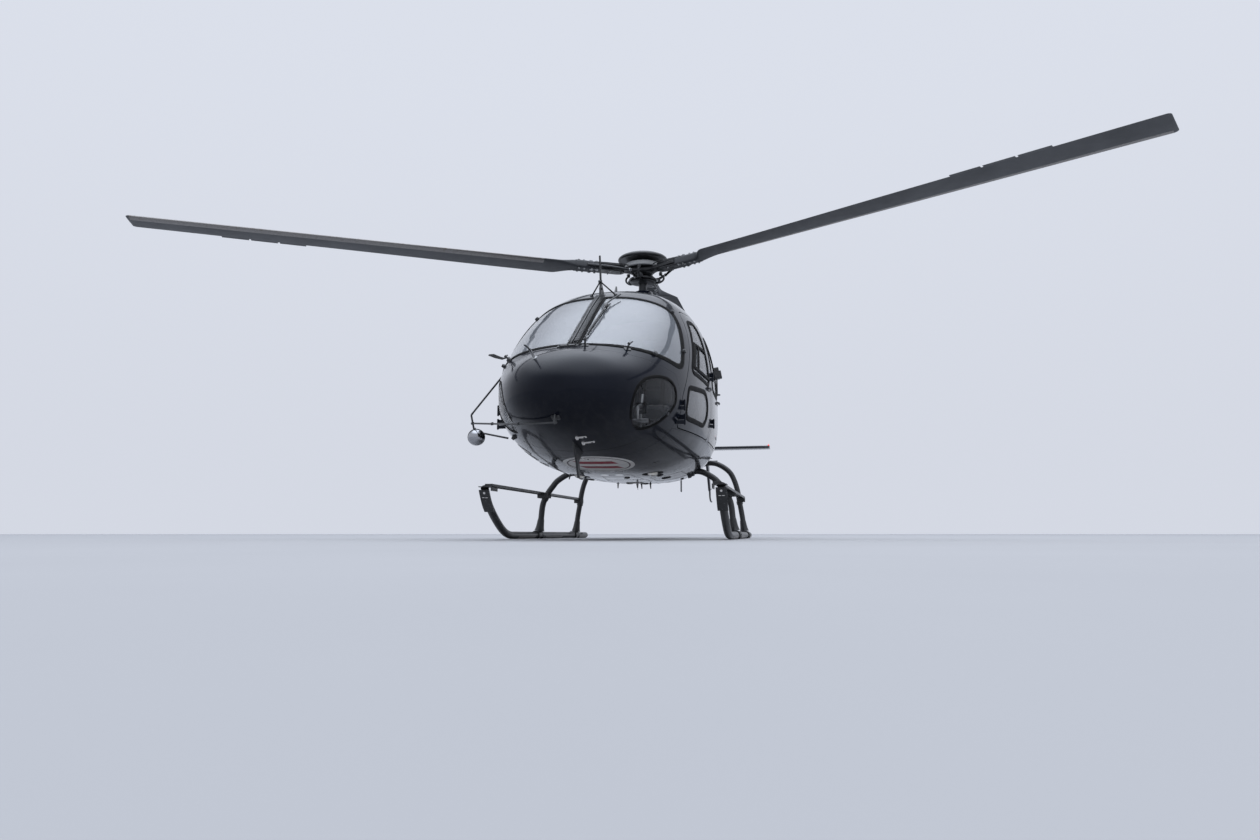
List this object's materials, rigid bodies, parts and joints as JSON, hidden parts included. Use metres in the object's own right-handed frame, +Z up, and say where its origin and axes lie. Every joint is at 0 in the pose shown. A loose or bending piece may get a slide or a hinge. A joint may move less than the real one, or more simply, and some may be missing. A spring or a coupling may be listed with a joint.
{
  "type": "light utility helicopter",
  "caption": "Light single-engine utility helicopter on high skids, with turning main and tail rotors, hinged cabin and baggage doors, and a hollow glazed cabin.",
  "frame": {"origin": "bottom centre of the bounding box, on the ground under the skids", "axes": "+X to the helicopter's left, +Y to the tail, +Z up"},
  "size_m": [9.4328, 10.901, 3.34],
  "materials": {
    "navy_paint": "glossy dark navy",
    "black_paint": "satin black",
    "glass": "clear acrylic",
    "seat_cloth": "dark cloth",
    "blade_grey": "matt grey",
    "dark_metal": "satin dark grey",
    "cabin_grey": "matt grey",
    "console_black": "matt black",
    "engine_metal": "cast",
    "exhaust_steel": "heat-tinted"
  },
  "bodies": {
    "airframe": {"canopy_frame": "navy_paint", "windscreen_left": "glass", "windscreen_right": "glass", "nose_shell": "navy_paint", "chin_window_left": "glass", "chin_window_right": "glass", "belly_shell": "navy_paint", "cabin_floor": "cabin_grey", "centre_fuselage": "navy_paint", "rear_bulkhead": "cabin_grey", "rear_fuselage": "navy_paint", "gearbox_cowling": "navy_paint", "engine_cowling": "navy_paint", "main_gearbox": "dark_metal", "engine_block": "engine_metal", "exhaust_pipe": "exhaust_steel", "tail_boom": "navy_paint", "stabiliser": "navy_paint", "upper_fin": "navy_paint", "lower_fin": "navy_paint", "tail_gearbox": "dark_metal", "front_cross_tube": "black_paint", "rear_cross_tube": "black_paint", "skid_left": "black_paint", "skid_right": "black_paint", "step_left": "black_paint", "step_right": "black_paint", "front_seat_left": "seat_cloth", "front_seat_right": "seat_cloth", "rear_bench": "seat_cloth", "instrument_console": "console_black", "upper_wire_cutter": "black_paint", "lower_wire_cutter": "black_paint", "mirror_frame": "black_paint"},
    "main_rotor": {"rotor_mast": "dark_metal", "rotor_dish": "black_paint", "rotor_blade_1": "blade_grey", "rotor_blade_2": "blade_grey", "rotor_blade_3": "blade_grey"},
    "tail_rotor": {"tail_rotor": "dark_metal"},
    "front_door_left": {"front_door_left": "navy_paint", "front_door_glass_left": "glass", "front_door_low_glass_left": "glass"},
    "rear_door_left": {"rear_door_left": "navy_paint", "rear_door_glass_left": "glass"},
    "baggage_door_left": {"baggage_door_left": "navy_paint"},
    "front_door_right": {"front_door_right": "navy_paint", "front_door_glass_right": "glass", "front_door_low_glass_right": "glass"},
    "rear_door_right": {"rear_door_right": "navy_paint", "rear_door_glass_right": "glass"},
    "baggage_door_right": {"baggage_door_right": "navy_paint"}
  },
  "joints": [
    {"name": "main_rotor_spin", "type": "hinge", "parent": "airframe", "child": "main_rotor", "pos_m": [0.04349, -1.95047, 3.11], "axis": [0, 0, 1], "continuous": true},
    {"name": "tail_rotor_spin", "type": "hinge", "parent": "airframe", "child": "tail_rotor", "pos_m": [-0.45652, 4.64953, 1.78], "axis": [1, 0, 0], "continuous": true},
    {"name": "front_door_left_hinge", "type": "hinge", "parent": "airframe", "child": "front_door_left", "pos_m": [0.86648, -4.44047, 1.08], "axis": [0, 0, -1], "range_deg": [0, 75]},
    {"name": "rear_door_left_hinge", "type": "hinge", "parent": "airframe", "child": "rear_door_left", "pos_m": [0.99148, -3.30047, 1.33], "axis": [0, 0, -1], "range_deg": [0, 80]},
    {"name": "baggage_door_left_hinge", "type": "hinge", "parent": "airframe", "child": "baggage_door_left", "pos_m": [0.79998, -1.60547, 1.79], "axis": [0.1637, -0.9865, 0], "range_deg": [0, 95]},
    {"name": "front_door_right_hinge", "type": "hinge", "parent": "airframe", "child": "front_door_right", "pos_m": [-0.77951, -4.44047, 1.08], "axis": [0, 0, 1], "range_deg": [0, 75]},
    {"name": "rear_door_right_hinge", "type": "hinge", "parent": "airframe", "child": "rear_door_right", "pos_m": [-0.90451, -3.30047, 1.33], "axis": [0, 0, 1], "range_deg": [0, 80]},
    {"name": "baggage_door_right_hinge", "type": "hinge", "parent": "airframe", "child": "baggage_door_right", "pos_m": [-0.71301, -1.60547, 1.79], "axis": [0.1637, 0.9865, 0], "range_deg": [0, 95]}
  ]
}
